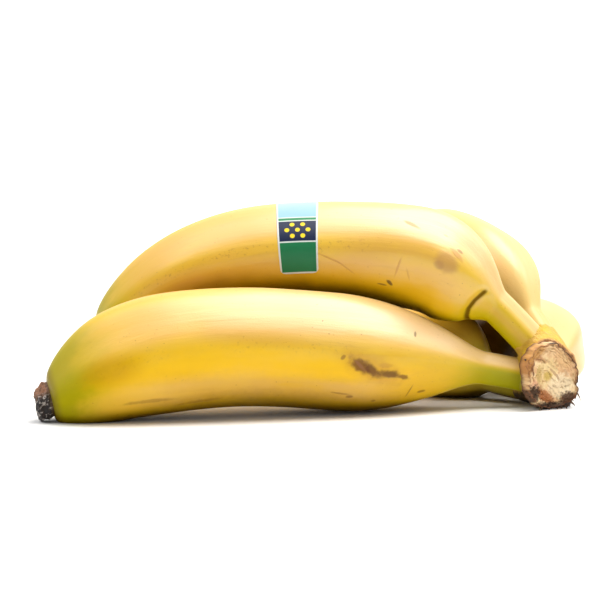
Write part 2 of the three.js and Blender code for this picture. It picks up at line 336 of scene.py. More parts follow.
class Fruit:
    """A banana, whose sizes of FRUITS become its attributes. Stations run along it from its root."""

    def __init__(self, name, spine, turn, **sizes):
        self.name = name
        self.turn = math.radians(turn)
        self.folds = FOLDS.get(name, [])
        vars(self).update(sizes)
        self.lay_line(spine)

    def lay_line(self, spine):
        """A uniform cubic B-spline that starts and ends at its first and last points."""
        p = np.array(spine, float)
        p = np.vstack([2 * p[0] - p[1], p, 2 * p[-1] - p[-2]])
        spans = len(p) - 3
        t = np.linspace(0, spans, 6000)
        i = np.minimum(t.astype(int), spans - 1)
        u = (t - i)[:, None]
        self.line = (
            p[i] * (1 - u) ** 3
            + p[i + 1] * (3 * u**3 - 6 * u**2 + 4)
            + p[i + 2] * (-3 * u**3 + 3 * u**2 + 3 * u + 1)
            + p[i + 3] * u**3
        ) / 6
        steps = np.linalg.norm(np.diff(self.line, axis=0), axis=1)
        self.run = np.concatenate([[0], np.cumsum(steps)])
        self.length = self.run[-1]
        self.heading = unit(np.gradient(self.line, axis=0))
        root, half, tip = self.at(0)[0], self.at(self.length / 2)[0], self.at(self.length)[0]
        self.side = unit(np.cross(half - root, tip - half))

    def at(self, station):
        """The place and heading at stations in millimetres."""
        station = np.asarray(station, float)
        place, heading = (
            np.stack([np.interp(station, self.run, table[:, k]) for k in range(3)], -1)
            for table in (self.line, self.heading)
        )
        return place, unit(heading)

    def axes(self, station):
        """The place, heading, back and side directions at stations."""
        place, heading = self.at(station)
        side = unit(self.side - (heading @ self.side)[..., None] * heading)
        return place, heading, np.cross(heading, side), side

    def around(self, table, angle):
        """A value from a table of angles from the first ridge."""
        angles, values = zip(*table.get(self.name, table["others"]))
        return np.interp(np.degrees(angle) % 360, angles, values, period=360)

    def body_radius(self, station, angle):
        start = self.neck_length - self.neck_skew * np.cos(angle)
        span = self.shoulder_length + self.shoulder_skew * np.cos(angle)
        rise = np.clip((station - start) / span, 0, 1)
        soft = np.minimum((1 + SHOULDER_START) * rise * rise / (rise + SHOULDER_START), 1)
        shoulder = 1 - (1 - soft) ** SHOULDER_POWER
        to_tip = np.clip((self.length - station) / self.tip_length, 0, 1)
        tip = np.sqrt(1 - (1 - to_tip) ** 2) ** TIP_POWER
        return mix(self.neck, self.radius, shoulder) * mix(self.tip_radius / self.radius, 1, tip)

    def shape(self, station, angle):
        """How far the rounded pentagon of the section reaches at an angle."""
        middle = ease((station - MIDDLE_FROM) / MIDDLE_RISE)
        middle = middle * ease((self.length - station) / MIDDLE_FALL)
        power = mix(POWER_AT_ENDS, POWER_AT_MIDDLE, middle)
        total = 0
        for k in range(5):
            facing = np.cos(angle - math.pi / 5 * (1 + 2 * k))
            total = total + np.clip(facing, 0, None) ** power
        on_face = 0.5 + 0.5 * np.cos(5 * (angle - math.pi / 5))
        return total ** (-1 / power) * (1 - HOLLOW_AT_ENDS * (1 - middle) * on_face) * SECTION_TRIM

    def relief(self, station, angle, reach):
        """Low lumps of the body, and the folds where the neck leaves it."""
        straight = np.stack([station, reach * np.cos(angle), reach * np.sin(angle)], -1)
        lumps = LUMP_HEIGHT * grain(straight, LUMP_SIZE, 2, seed=self.length)
        for fold in self.folds:
            lumps = lumps + fold_depth(fold, station, angle)
        return lumps

    def skin(self, station, angle, grow=0.0):
        """Points of the skin at stations and angles, and the same points on a straight fruit."""
        station, angle = np.broadcast_arrays(np.asarray(station, float), np.asarray(angle, float))
        place, heading, back, side = self.axes(station)
        reach = self.body_radius(station, angle) * self.shape(station, angle)
        reach = reach + self.relief(station, angle, reach) + grow
        turned = angle + self.turn
        slant = self.tip_slant * ease(1 - (self.length - station) / SLANT_LENGTH)
        across = reach * np.cos(turned)
        points = (
            place
            + back * across[..., None]
            + side * (reach * np.sin(turned))[..., None]
            - heading * (slant * across)[..., None]
        )
        straight = np.stack([station, reach * np.cos(angle), reach * np.sin(angle)], -1)
        return points, straight


fruits = {name: Fruit(name, **{**USUAL_SIZES, **sizes}) for name, sizes in FRUITS.items()}


def skin_grid(fruit):
    """Stations, angles, points and straight points of a fruit's rings, from root to tip."""
    even = np.linspace(0, 1, FRUIT_RINGS)
    along = even - RING_BUNCHING * np.sin(2 * math.pi * even)
    angles = np.arange(FRUIT_SIDES) * 2 * math.pi / FRUIT_SIDES
    station, angle = np.meshgrid(along * fruit.length, angles, indexing="ij")
    points, straight = fruit.skin(station, angle)
    return station, angle, points, straight


def rest_on_floor(points):
    """Lifts what would be under the floor to it, and rounds the edge of the flat spot."""
    z = points[..., 2]
    lifted = FLOOR_SOFTNESS * np.exp((z - FLOOR_SOFTNESS) / FLOOR_SOFTNESS)
    lifted = np.where(z < FLOOR_SOFTNESS, lifted, z)
    points[..., 2] = np.maximum(lifted, 0.0)
    return points


def skin_tree(grids):
    """A tree of all these skins, for casting rays at them."""
    points, faces = [], []
    for grid in grids:
        faces += tube_faces(*grid.shape[:2], first=len(points))
        points += [tuple(p) for p in closed(grid)]
    return BVHTree.FromPolygons(points, faces)


def shelter_at(points, normals, tree):
    """How much of the room over each point, out to SHELTER_REACH, the hand and floor fill."""
    count = SHELTER_RAYS
    k = np.arange(count) + 0.5
    rise = np.sqrt(1 - k / count)
    turn = k * math.pi * (1 + 5**0.5)
    spread = np.sqrt(1 - rise**2)
    rays = np.stack([spread * np.cos(turn), spread * np.sin(turn), rise], -1)
    filled = np.zeros(len(points))
    for n, (point, normal) in enumerate(zip(points, normals)):
        aside = unit(np.cross(normal, ANY_WAY))
        start = Vector(point + SHELTER_START * normal)
        for ray in rays @ np.stack([aside, np.cross(normal, aside), normal]):
            distance = tree.ray_cast(start, Vector(ray), SHELTER_REACH)[3]
            if distance is not None:
                filled[n] += 1 - (distance / SHELTER_REACH) ** 2
            elif ray[2] < 0:
                filled[n] += max(0, 1 - (start[2] / -ray[2] / FLOOR_REACH) ** 2)
    return filled / count


def grid_normals(points):
    along = np.gradient(points, axis=0)
    around = np.roll(points, -1, 1) - np.roll(points, 1, 1)
    return unit(np.cross(along, around) + 1e-9)


def fruit_shelter(points, tree):
    """The shelter of a fruit's skin, found on a coarse grid and spread over all of it."""
    rows = np.arange(0, FRUIT_RINGS, SHELTER_STEP)
    columns = np.arange(0, FRUIT_SIDES, SHELTER_STEP)
    few = points[rows][:, columns]
    normals = grid_normals(points)[rows][:, columns]
    coarse = shelter_at(few.reshape(-1, 3), normals.reshape(-1, 3), tree).reshape(few.shape[:2])
    around = np.stack(
        [np.interp(np.arange(FRUIT_SIDES), columns, row, period=FRUIT_SIDES) for row in coarse]
    )
    every = [np.interp(np.arange(FRUIT_RINGS), rows, column) for column in around.T]
    return np.stack(every, -1)


def build_fruit(fruit, tree):
    station, angle, points, straight = skin_grid(fruit)
    points = rest_on_floor(points)
    ridge = 0.5 - 0.5 * np.cos(5 * (angle - math.pi / 5))
    values = {
        "straight": straight,
        "ridge": ridge,
        "from_tip": fruit.length - station,
        "from_cut": -((points - CROWN_FACE_AT) @ FACE_OUT),
        # How sheltered each point is; the peel paints shade from it.
        "shelter": fruit_shelter(points, tree),
        "band": fruit.around(BANDS, angle),
        "pale": fruit.around(PAINTED_HIGHLIGHT_PALENESS, angle),
        "neck_green": fruit.around(NECK_GREENS, angle),
        "fold": sum((fold_line(fold, station, angle) for fold in fruit.folds), 0 * station),
    }
    return tube_object(fruit.name + "_peel", points, values)


# ---- crown


def closed_curve(corners, count):
    """Points, evenly counted, on a closed Catmull-Rom curve through corners."""
    p = np.array(corners, float)
    t = np.arange(count) * len(p) / count
    i = t.astype(int)
    u = (t - i)[:, None]
    a, b, c, d = (p[(i + k) % len(p)] for k in (-1, 0, 1, 2))
    squared = (2 * a - 5 * b + 4 * c - d) * u**2
    cubed = (3 * b - a - 3 * c + d) * u**3
    return 0.5 * (2 * b + (c - a) * u + squared + cubed)


OUTLINE = closed_curve([(x, z - CROWN_FACE_AT[2]) for x, z in CROWN_OUTLINE], 240)


def outline_reach(angle):
    """How far the cut's outline is from its middle at an angle."""
    bearing = np.arctan2(OUTLINE[:, 1], OUTLINE[:, 0])
    order = np.argsort(bearing)
    reach = np.linalg.norm(OUTLINE, axis=1)
    return np.interp(angle, bearing[order], reach[order], period=2 * math.pi)


def crown_lump(points):
    """Distance, below zero inside, from the lump behind the cut."""
    offset = points - CROWN_FACE_AT
    depth = (offset @ FACE_OUT) / (CROWN_AXIS @ FACE_OUT)
    x = offset @ ACROSS - depth * (CROWN_AXIS @ ACROSS)
    z = offset @ UP
    sizes = np.interp(depth, [d for d, _ in CROWN_SECTIONS], [size for _, size in CROWN_SECTIONS])
    sideways = np.hypot(x, z) - outline_reach(np.arctan2(z, x)) * sizes
    return np.maximum(sideways, depth - CROWN_SECTIONS[-1][0])


def neck_stub(fruit, points):
    """Distance from the root of a neck, which sinks into the neck's own peel at its end."""
    stations = np.linspace(0, STUB_REACH, STUB_STEPS)
    place, heading, back, side = fruit.axes(stations)
    flat = points.reshape(-1, 3)
    nearest = np.zeros(len(flat), int)
    best = np.full(len(flat), 1e9)
    for k in range(len(stations)):
        d = np.linalg.norm(flat - place[k], axis=1)
        closer = d < best
        best[closer] = d[closer]
        nearest[closer] = k
    offset = flat - place[nearest]
    across = (offset * back[nearest]).sum(1)
    along = (offset * side[nearest]).sum(1)
    angle = np.arctan2(along, across) - fruit.turn
    station = stations[nearest]
    sinking = ease((station - STUB_SINK_FROM) / (STUB_REACH - STUB_SINK_FROM))
    skin = fruit.body_radius(station, angle) * fruit.shape(station, angle)
    skin = skin + mix(STUB_PROUD, STUB_SUNK, sinking)
    past = (offset * heading[nearest]).sum(1)
    return np.maximum(np.hypot(across, along) - skin, np.abs(past) - 1.0).reshape(points.shape[:-1])


def soft_union(a, b, width):
    """The distance from two bodies that flow into each other."""
    share = np.clip(0.5 + 0.5 * (b - a) / width, 0, 1)
    return mix(b, a, share) - width * share * (1 - share)


def surface_net(values, origin, pitch):
    """Points and faces where a grid of values crosses zero, with its normals outward."""
    inside = values < 0
    corners = np.array(list(itertools.product((0, 1), repeat=3)))
    pairs = itertools.combinations(range(8), 2)
    edges = [(a, b) for a, b in pairs if np.abs(corners[a] - corners[b]).sum() == 1]
    cells = [n - 1 for n in values.shape]

    def at(grid, corner):
        i, j, k = corner
        return grid[i : i + cells[0], j : j + cells[1], k : k + cells[2]]

    total = np.zeros((*cells, 3))
    count = np.zeros(cells)
    for a, b in edges:
        va, vb = at(values, corners[a]), at(values, corners[b])
        crossed = (va < 0) != (vb < 0)
        share = np.where(crossed, va / np.where(crossed, va - vb, 1), 0)[..., None]
        total += np.where(crossed[..., None], corners[a] + share * (corners[b] - corners[a]), 0)
        count += crossed
    used = count > 0
    index = np.full(cells, -1)
    index[used] = np.arange(used.sum())
    where = np.argwhere(used)
    points = origin + pitch * (where + total[used] / count[used][:, None])
    faces = []
    for axis in range(3):
        _, u, v = np.roll(np.eye(3, dtype=int), -axis, axis=0)
        low = [slice(1, -1)] * 3
        low[axis] = slice(0, -1)
        high = list(low)
        high[axis] = slice(1, None)
        first, second = inside[tuple(low)], inside[tuple(high)]
        for order, crossed in ((1, first & ~second), (-1, ~first & second)):
            cell = np.argwhere(crossed) + u + v
            quad = [index[tuple((cell - back).T)] for back in (0 * u, u, u + v, v)]
            faces.append(np.stack(quad, 1)[:, ::order])
    return points, np.vstack(faces)


def crown_local(points):
    """Places across the cut, in front of it and up from its middle, in millimetres."""
    away = points - CROWN_FACE_AT
    return np.stack([away @ ACROSS, away @ FACE_OUT, away @ UP], -1)


def face_normals(points, faces):
    """The mean normal of the faces round each point."""
    a, b, c, d = (points[faces[:, k]] for k in range(4))
    each = np.cross(c - a, d - b)
    total = np.zeros_like(points)
    for k in range(4):
        np.add.at(total, faces[:, k], each)
    return unit(total + 1e-12)


def build_crown(tree):
    """The lump behind the cut, into which the five necks flow."""
    axes = [np.arange(CROWN_LOW[k], CROWN_HIGH[k], CROWN_PITCH) for k in range(3)]
    grid = np.stack(np.meshgrid(*axes, indexing="ij"), -1)
    solid = crown_lump(grid)
    for fruit in fruits.values():
        solid = soft_union(solid, neck_stub(fruit, grid), CROWN_BLEND)
    in_front = (grid - CROWN_FACE_AT) @ FACE_OUT
    solid = np.maximum(solid, in_front + CROWN_LUMP_BACK)
    solid = np.maximum(solid, -grid[..., 2])
    points, faces = surface_net(solid, CROWN_LOW, CROWN_PITCH)
    normals = face_normals(points, faces)
    # How sheltered the lump is; its material paints shade from it.
    shelter = shelter_at(points, normals, tree)
    local = crown_local(points)
    near_cut = ease((CUT_GRAIN_DEPTH + local[:, 1]) / 5)
    lumps = CROWN_GRAIN * grain(points, CROWN_GRAIN_SIZE, 2)
    lumps = lumps + near_cut * CUT_GRAIN * grain(points, CUT_GRAIN_SIZE, 3, 4.0)
    points = points + normals * lumps[:, None]
    points[:, 2] = np.maximum(points[:, 2], 0)
    return mesh_object("crown_lump", room(points), faces, {"local": local, "shelter": shelter})


def build_cut():
    """The torn face of the crown: streaked flesh, cracked rings and a thin dark lip."""
    shares = np.linspace(0.02, 1.0, CUT_RINGS)
    angles = np.arange(CUT_SIDES) * 2 * math.pi / CUT_SIDES
    share, angle = np.meshgrid(shares, angles, indexing="ij")
    ragged = 0.02 * np.sin(9 * angle + 1.0) + 0.012 * np.sin(23 * angle)
    reach = outline_reach(angle) * CUT_SIZE * (1 + ragged * ease((share - 0.5) / 0.4))
    x = share * reach * np.cos(angle)
    z = share * reach * np.sin(angle)
    none = np.zeros_like(x)
    flat = np.stack([x, z, none], -1)
    along = (x * STREAK_WAY[0] + z * STREAK_WAY[1]) * STREAK_STRETCH
    across = z * STREAK_WAY[0] - x * STREAK_WAY[1]
    warp = np.stack([grain(flat, WARP_SIZE, 2, 3.0), grain(flat, WARP_SIZE, 2, 9.0), none], -1)
    leaning = np.stack([along, across, none], -1) + STREAK_WARP * warp
    streaks = grain(leaning, STREAK_SIZE, 3, 5.0)
    cracks = np.exp(-((streaks / CRACK_WIDTH) ** 2))
    crumbs = grain(flat, 1.0, 3, 11.0)
    layers = np.sin((share + 0.05 * grain(flat, 5, 2, 31.0)) * 75) * ease((share - 0.6) / 0.15)
    upper_right = ease((np.cos(angle - UPPER_RIGHT) - 0.15) / 0.3)
    lip = np.exp(-(((share - LIP_AT) / LIP_WIDTH) ** 2))
    height = CUT_HEIGHT + STREAK_HEIGHT * streaks - CRACK_DEPTH * cracks
    height = height + CRUMB_HEIGHT * crumbs + LAYER_HEIGHT * layers
    height = height - MIDDLE_DEPTH * ease((0.8 - share) / 0.5)
    height = height + (LIP_HEIGHT + LIP_HEIGHT_UPPER_RIGHT * upper_right) * lip
    height = height - BOTTOM_DEPTH * ease((-z - 5.5) / 5.5) * (1 - upper_right * 0.5)
    height = mix(height, -EDGE_DEPTH, ease((share - LIP_AT) / (1 - LIP_AT)))
    points = CROWN_FACE_AT + x[..., None] * ACROSS + z[..., None] * UP + height[..., None] * FACE_OUT
    points[..., 2] = np.maximum(points[..., 2], JUST_OVER_FLOOR)
    values = {
        "local": crown_local(points), "share": share, "cracks": cracks, "streaks": streaks,
        "lip": lip * upper_right,
    }
    return tube_object("crown_cut", points, values)


def build_frays():
    """Dry fibres that stick out of the edge of the cut, most of them at its lower right."""
    chance = random.Random(11)
    points, faces = [], []
    for bearing, length, droop in FRAYS:
        bearing = math.radians(bearing)
        out = outline_reach(bearing) * FRAY_ROOT
        turn = bearing + math.radians(chance.uniform(-FRAY_TURN, FRAY_TURN))
        thick = chance.uniform(*FRAY_THICKNESS)
        forward = chance.uniform(*FRAY_FORWARD)
        place = CROWN_FACE_AT + out * math.cos(bearing) * ACROSS + out * math.sin(bearing) * UP
        place = place - FRAY_SUNK * FACE_OUT
        rings = []
        for i in range(FRAY_STEPS):
            way = unit(math.cos(turn) * ACROSS + math.sin(turn) * UP + forward * FACE_OUT)
            aside = unit(np.cross(way, FACE_OUT + 0.1 * UP))
            above = np.cross(way, aside)
            size = thick * (1 - FRAY_TAPER * (i / (FRAY_STEPS - 1)) ** 1.5)
            around = [2 * math.pi * j / FRAY_SIDES for j in range(FRAY_SIDES)]
            rings.append([
                place + size * (math.cos(a) * aside + 0.6 * math.sin(a) * above) for a in around
            ])
            place = place + way * length / (FRAY_STEPS - 1)
            turn += math.radians(droop + chance.uniform(-FRAY_WANDER, FRAY_WANDER)) / (FRAY_STEPS - 1)
        faces += tube_faces(FRAY_STEPS, FRAY_SIDES, len(points))
        points += list(closed(np.array(rings)))
    points = np.array(points)
    points[:, 2] = np.maximum(points[:, 2], JUST_OVER_FLOOR)
    return mesh_object("crown_frays", room(points), faces, {"local": crown_local(points)})


# ---- blossom ends

# Heights over the tip, and sizes as shares of its radius, from the outside to the middle.
BLOSSOM_PROFILE = [(0, 0.88), (1.2, 0.95), (2.6, 0.78), (4, 0.82), (5, 0.57), (4.4, 0.3), (3.4, 0.05)]
BLOSSOM_LOBE = 0.09
BLOSSOM_SIDES = 110
BLOSSOM_RINGS = 60
BLOSSOM_SMOOTHINGS = 4
BLOSSOM_ROOT = 0.6
BLOSSOM_GAP = 0.3
BLOSSOM_WRINKLES = 0.55
BLOSSOM_WRINKLE_SIZE = 2.6
BLOSSOM_CRUMBS = 0.2
BLOSSOM_CRUMB_SIZE = 0.9
BLOSSOM_ROUGHNESS = 1.2


def build_blossom(fruit):
    """The dried end: five stumps in a ring round a hollow, wrinkled and crumbling."""
    place, heading, back, side = (v[0] for v in fruit.axes(np.array([fruit.length])))
    share = np.linspace(0, 1, BLOSSOM_RINGS)
    steps = np.linspace(0, 1, len(BLOSSOM_PROFILE))
    profile = [np.interp(share, steps, column) for column in zip(*BLOSSOM_PROFILE)]
    for column in profile:
        for _ in range(BLOSSOM_SMOOTHINGS):
            column[1:-1] = (column[:-2] + 2 * column[1:-1] + column[2:]) / 4
    height, size = (column[:, None] for column in profile)
    share = share[:, None]
    angle = np.arange(BLOSSOM_SIDES) * 2 * math.pi / BLOSSOM_SIDES
    lobe = 1 + BLOSSOM_LOBE * np.cos(5 * angle) * ease(share / 0.2)
    reach = fruit.tip_radius * size * lobe
    out = back * np.cos(angle)[:, None] + side * np.sin(angle)[:, None]
    lean = fruit.tip_slant * reach * np.cos(angle)
    start = -BLOSSOM_ROOT * (1 - ease(share / 0.08))
    up = height + start + BLOSSOM_GAP - lean
    points = place + heading * up[..., None] + out * reach[..., None]
    local = np.stack([reach * np.cos(angle), reach * np.sin(angle), height + 0 * angle], -1)
    seed = fruit.length
    rough = BLOSSOM_WRINKLES * grain(local, BLOSSOM_WRINKLE_SIZE, 3, seed)
    rough = rough + BLOSSOM_CRUMBS * np.abs(grain(local, BLOSSOM_CRUMB_SIZE, 2, seed + 3))
    rough = rough * ease(share / 0.15) * BLOSSOM_ROUGHNESS
    direction = unit(out * size[..., None] + heading * 0.6)
    points = points + direction * rough[..., None]
    points[..., 2] = np.maximum(points[..., 2], 0.0)
    values = {
        "rough": np.append(rough.ravel(), [0, 0]),
        "local": np.vstack([local.reshape(-1, 3), [[0, 0, 0], [0, 0, BLOSSOM_PROFILE[-1][0]]]]),
    }
    name = fruit.name.replace("banana", "blossom_end") + "_dried"
    return mesh_object(name, room(closed(points)), tube_faces(BLOSSOM_RINGS, BLOSSOM_SIDES), values)


# ---- label

LABEL_FRUIT = "banana_top"
LABEL_STATION = 96
LABEL_WIDTH = 13
LABEL_ANGLE = 52
LABEL_ARC = 102
LABEL_LIFT = 0.16
LABEL_CORNER = 0.12
LABEL_NARROWING = 0.3
LABEL_COLUMNS = 40
LABEL_ROWS = 110


def build_label():
    """A thin paper strip that follows the peel, with rounded corners."""
    across, down = LABEL_COLUMNS, LABEL_ROWS
    fruit = fruits[LABEL_FRUIT]
    v = np.linspace(-1, 1, down)
    corner = np.clip((np.abs(v) - (1 - LABEL_CORNER)) / LABEL_CORNER, 0, 1)
    narrow = 1 - LABEL_NARROWING * (1 - np.sqrt(1 - corner**2))
    u = np.linspace(-1, 1, across)[None, :] * narrow[:, None]
    v_grid = np.repeat(v[:, None], across, 1)
    station = LABEL_STATION - u * LABEL_WIDTH / 2
    angle = np.radians(LABEL_ANGLE + v_grid * LABEL_ARC / 2)
    top = fruit.skin(station, angle, LABEL_LIFT)[0]
    base = fruit.skin(station, angle, -LABEL_LIFT)[0]
    points = np.vstack([top.reshape(-1, 3), base.reshape(-1, 3)])
    faces = []
    size = across * down
    for i in range(down - 1):
        for j in range(across - 1):
            a = i * across + j
            b = size + a
            faces.append((a, a + 1, a + across + 1, a + across))
            faces.append((b, b + across, b + across + 1, b + 1))
    grid = np.arange(size).reshape(down, across)
    border = [*grid[0], *grid[1:, -1], *grid[-1, -2::-1], *grid[-2:0:-1, 0]]
    border = [int(corner) for corner in border]
    for a, b in zip(border, border[1:] + border[:1]):
        faces.append((b, a, size + a, size + b))
    values = {"u": np.tile(u.ravel(), 2), "v": np.tile(v_grid.ravel(), 2)}
    return mesh_object("label_paper", room(points), faces, values)


# ---- materials


class Nodes:
    """Adds nodes to a tree, a step at a time."""

    def __init__(self, tree):
        self.tree = tree
        tree.nodes.clear()

    def plug(self, value, socket):
        if isinstance(value, bpy.types.NodeSocket):
            self.tree.links.new(value, socket)
        elif value is not None:
            socket.default_value = value

    def node(self, kind, output, inputs=(), **settings):
        """An output of a new node, whose inputs are values or sockets by name or number."""
        node = self.tree.nodes.new("ShaderNode" + kind)
        for key, value in settings.items():
            setattr(node, key, value)
        for key, value in dict(inputs).items():
            self.plug(value, node.inputs[key])
        return node.outputs[output]

    def attribute(self, key, output="Fac"):
        return self.node("Attribute", output, attribute_name=key)

    def math(self, operation, *values):
        return self.node("Math", 0, enumerate(values), operation=operation)

    def vector(self, operation, *values):
        output = "Value" if operation in ("LENGTH", "DOT_PRODUCT") else "Vector"
        return self.node("VectorMath", output, enumerate(values), operation=operation)

    def noise(self, vector, scale, detail=3.0, roughness=0.5, stretch=(1, 1, 1), distortion=0.0):
        place = self.vector("MULTIPLY", vector, stretch)
        inputs = {"Vector": place, "Scale": scale, "Detail": detail, "Roughness": roughness}
        return self.node("TexNoise", "Fac", {**inputs, "Distortion": distortion})

    def fade(self, value, low, high, to_low=0.0, to_high=1.0):
        """Goes smoothly from to_low, where value is low, to to_high, where it is high."""
        inputs = {"From Min": low, "From Max": high, "To Min": to_low, "To Max": to_high}
        inputs["Value"] = value
        return self.node("MapRange", "Result", inputs, interpolation_type="SMOOTHSTEP")

    def blend(self, share, a, b):
        return self.node("Mix", 2, {0: share, 6: colour(a), 7: colour(b)}, data_type="RGBA")

    def mapped(self, vector, location, rotation, scale):
        """The vector, seen from a frame at location with that rotation and scale."""
        inputs = {"Vector": vector, "Location": location, "Rotation": rotation, "Scale": scale}
        return self.node("Mapping", 0, inputs, vector_type="TEXTURE")

    def bumps(self, *layers):
        """The normal over layers, each a height, its distance and its strength."""
        normal = None
        for height, distance, strength in layers:
            inputs = {"Strength": strength, "Distance": distance, "Height": height, "Normal": normal}
            normal = self.node("Bump", 0, inputs)
        return normal

    def product(self, fields, fades):
        """The product of fades. Each is a field's name, two of its values and the fade's values
        there, which are 0 and 1 where they aren't given. A name alone is the field itself."""
        total = None
        for name, *ends in fades:
            value = self.fade(fields[name], *ends) if ends else fields[name]
            total = value if total is None else self.math("MULTIPLY", total, value)
        return total

    def tints(self, base, fields, rows):
        """Lays colours over the base. A row is a colour, or a field that holds one, and the
        fades whose product is its share."""
        for tone, *fades in rows:
            base = self.blend(self.product(fields, fades), base, fields.get(tone, tone))
        return base


class Shade(Nodes):
    """Builds one material."""

    def __init__(self, name):
        self.material = bpy.data.materials.new(name)
        self.material.use_nodes = True
        super().__init__(self.material.node_tree)
        self.shader = self.tree.nodes.new("ShaderNodeBsdfPrincipled")
        output = self.tree.nodes.new("ShaderNodeOutputMaterial")
        self.plug(self.shader.outputs[0], output.inputs[0])

    def finish(self, base, roughness, normal=None, gloss=None, ior=None):
        self.plug(base, self.shader.inputs["Base Color"])
        self.plug(roughness, self.shader.inputs["Roughness"])
        self.plug(normal, self.shader.inputs["Normal"])
        self.plug(gloss, self.shader.inputs["Specular IOR Level"])
        self.plug(ior, self.shader.inputs["IOR"])
        return self.material


def colour(value):
    """A hex colour string as a linear RGBA, and anything else unchanged."""
    if not isinstance(value, str):
        return value
    channels = [int(value[i : i + 2], 16) / 255 for i in (0, 2, 4)]
    linear = [c / 12.92 if c <= 0.04045 else ((c + 0.055) / 1.055) ** 2.4 for c in channels]
    return (*linear, 1.0)


# A mark has its station and angle on the fruit, its length along and around it, how far it
# leans, how ragged and how soft its edge is, its colour and how strong it is.
# A few broad dark marks below are painted shade, not bruises, and are noted where they stand.
MARKS = {
    "banana_front": [
        # On the next line, the second mark, long and dark along the underside, is painted shade where
        # the fruit nears the floor.
        (148, 112, 34, 11, 0, 0.6, 1.4, "e6b83a", 0.7), (92, 150, 120, 17, 0, 0.3, 1.3, "60440a", 0.75),
        (104, 86, 96, 10, 2, 0.7, 1.3, "e8b800", 0.75), (66, 88, 24, 8, 20, 0.9, 0.9, "a8742c", 0.4),
        (71.0, 84.6, 7.6, 3.7, 34, 1.2, 0.9, "683e1a", 0.85),
        (66.6, 88.6, 7.6, 2.9, 38, 1.2, 0.9, "5e3616", 0.85),
        (60.8, 92.4, 9.0, 2.5, 6, 1.3, 0.9, "5e3a12", 0.85),
        (55.2, 96.3, 4.6, 1.7, 14, 1.3, 0.9, "70480f", 0.8),
        (71.0, 84.4, 5.0, 1.1, 38, 1.2, 0.8, "8c6044", 0.5),
        (62, 83, 5, 1.6, 0, 0.8, 0.9, "a06a24", 0.3),
        (77.1, 78, 2.0, 1.4, -50, 0.8, 0.6, "805818", 0.7),
        (51.6, 41, 0.9, 2.4, 10, 0.5, 0.7, "6a5a34", 0.75),
        (51.4, 120, 0.6, 4.6, 18, 0.6, 0.8, "8a6212", 0.6),
        (46.8, 124, 2.6, 1.1, 0, 0.8, 0.7, "80580f", 0.7),
        (75.5, 118, 6, 0.8, 4, 0.9, 0.8, "8c6010", 0.6),
        (72.0, 121.5, 2.4, 1.2, 0, 0.8, 0.7, "7a5010", 0.7),
        (63.4, 128, 1.6, 1.0, 0, 0.8, 0.7, "7a5412", 0.6),
        (142, 121, 16, 1.4, 3, 1.1, 0.9, "94681a", 0.5),
        (124, 130, 14, 1.2, -3, 1.1, 0.9, "8c6018", 0.5), (152, 72, 18, 9, 10, 0.6, 1.2, "b98700", 0.5),
        (104, 64, 30, 5, 4, 0.8, 1.4, "bc8a2c", 0.35),
    ],
    "banana_top": [
        (92, 122, 110, 12, 0, 0.6, 1.3, "d4a000", 0.6),
        (46.8, 73, 7.6, 6.6, 20, 0.5, 0.8, "a87a2e", 0.75),
        (48.6, 79, 3.2, 2.6, 0, 0.9, 0.8, "946626", 0.45),
        (45.2, 58, 5.2, 2.0, 25, 0.9, 0.8, "b07a34", 0.6),
        (44.9, 51.6, 1.8, 1.2, 10, 0.8, 0.7, "8a6236", 0.65),
        (59.6, 38, 5.2, 1.3, 28, 0.8, 0.8, "a98650", 0.7),
        (50.0, 40, 1.2, 0.9, 0, 0.8, 0.8, "a39264", 0.45),
        (64.8, 112, 2.8, 1.3, 42, 0.7, 0.6, "5f4210", 0.85),
        (67.4, 115, 3.4, 0.7, 8, 0.7, 0.7, "7d5c14", 0.7),
        (62.2, 92, 0.8, 6.5, 14, 0.6, 0.9, "b27c34", 0.5),
        (58.2, 99, 0.7, 4.0, -24, 0.6, 0.9, "a9782c", 0.35),
        (85.6, 86, 9.5, 0.6, 24, 0.5, 0.9, "b07c32", 0.55),
        (80.6, 95, 8.0, 0.5, 36, 0.5, 0.9, "b07c32", 0.45),
        (73.0, 74, 20, 7.0, 5, 0.7, 1.4, "c08c3c", 0.35),
        (112, 92, 26, 6.0, -4, 0.8, 1.4, "bd8a2a", 0.3),
        (60.0, 66, 26, 8.0, 6, 0.7, 1.4, "c58f44", 0.35),
    ],
    "banana_back_top": [
        (60, 20, 9, 3.0, 10, 1.0, 0.8, "a87430", 0.5),
        (95, -30, 12, 4.0, -12, 1.0, 0.8, "9a6828", 0.55),
        (120, 60, 3, 2.0, 0, 0.8, 0.7, "7a5014", 0.7), (80, -70, 18, 1.0, 16, 0.9, 0.8, "8c6010", 0.6),
    ],
    "banana_far": [
        # Painted shade: a broad dark patch on the side of this fruit that the others keep in shadow.
        (60, 135, 100, 36, 0, 0.2, 1.2, "3a2403", 1.0),
        (70, 15, 12, 4.0, -10, 1.0, 0.8, "a06c2c", 0.55),
        (105, -20, 16, 1.2, 8, 0.9, 0.8, "8c6010", 0.6), (125, 45, 4, 2.6, 20, 0.9, 0.7, "7a5014", 0.7),
    ],
    "banana_back_low": [
        # On the next line, the first mark, broad and dim olive, is painted shade on the side that lies
        # in shadow under the fruits above.
        (42, 45, 20, 26, 0, 0.4, 1.2, "9c781a", 0.92), (75, -40, 14, 5.0, 14, 1.0, 0.8, "a06c2c", 0.5),
        (110, -80, 5, 2.4, -20, 0.9, 0.7, "7a4a1c", 0.75),
        (95, 10, 20, 1.2, 6, 0.9, 0.8, "8c6010", 0.6),
    ],
}


MARK_DEPTH = 6
SHARP_SOFTNESS = 1  # a mark whose edge is sharper than this also roughens the peel
# Soft marks stronger than this strength are the painted shade patches; they also dull the peel's gloss.
PAINTED_SHADE_STRENGTH = 0.9  # a soft mark stronger than this also takes the peel's gloss away


